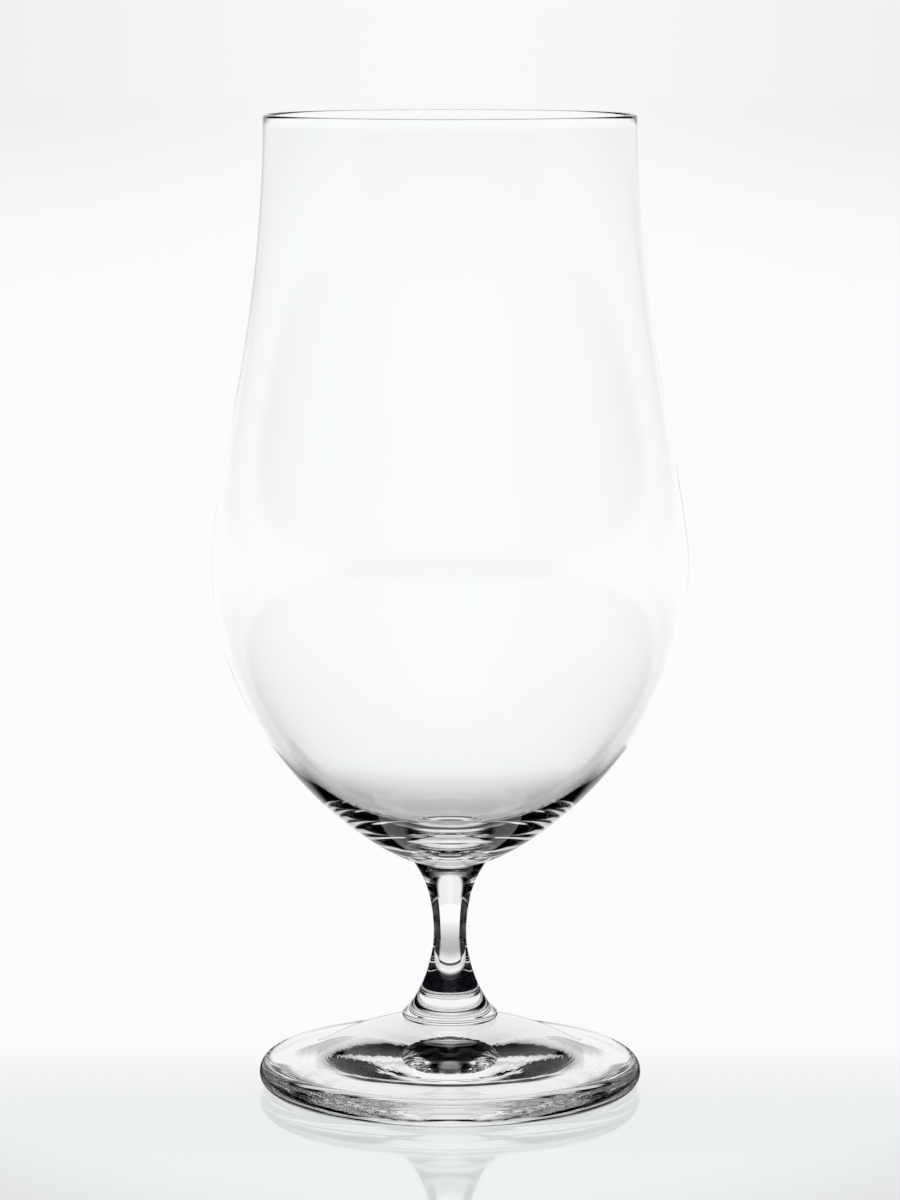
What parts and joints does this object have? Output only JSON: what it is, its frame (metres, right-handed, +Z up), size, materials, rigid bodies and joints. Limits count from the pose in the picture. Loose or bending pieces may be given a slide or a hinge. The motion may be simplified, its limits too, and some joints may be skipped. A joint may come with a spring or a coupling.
{
  "type": "pilsner glass",
  "caption": "Stemmed pilsner glass: thin blown bowl with a full belly and a narrower straight mouth, on a short solid stem and a round domed foot.",
  "frame": {"origin": "middle of the foot, on the table", "axes": "+Z up along the axis of the glass; it is round, so +X and +Y are any two level directions"},
  "size_m": [0.0878, 0.0878, 0.18],
  "materials": {
    "glass": "clear and colourless, fire-polished"
  },
  "bodies": {
    "root": {"bowl": "glass", "stem": "glass", "foot": "glass"}
  },
  "joints": []
}
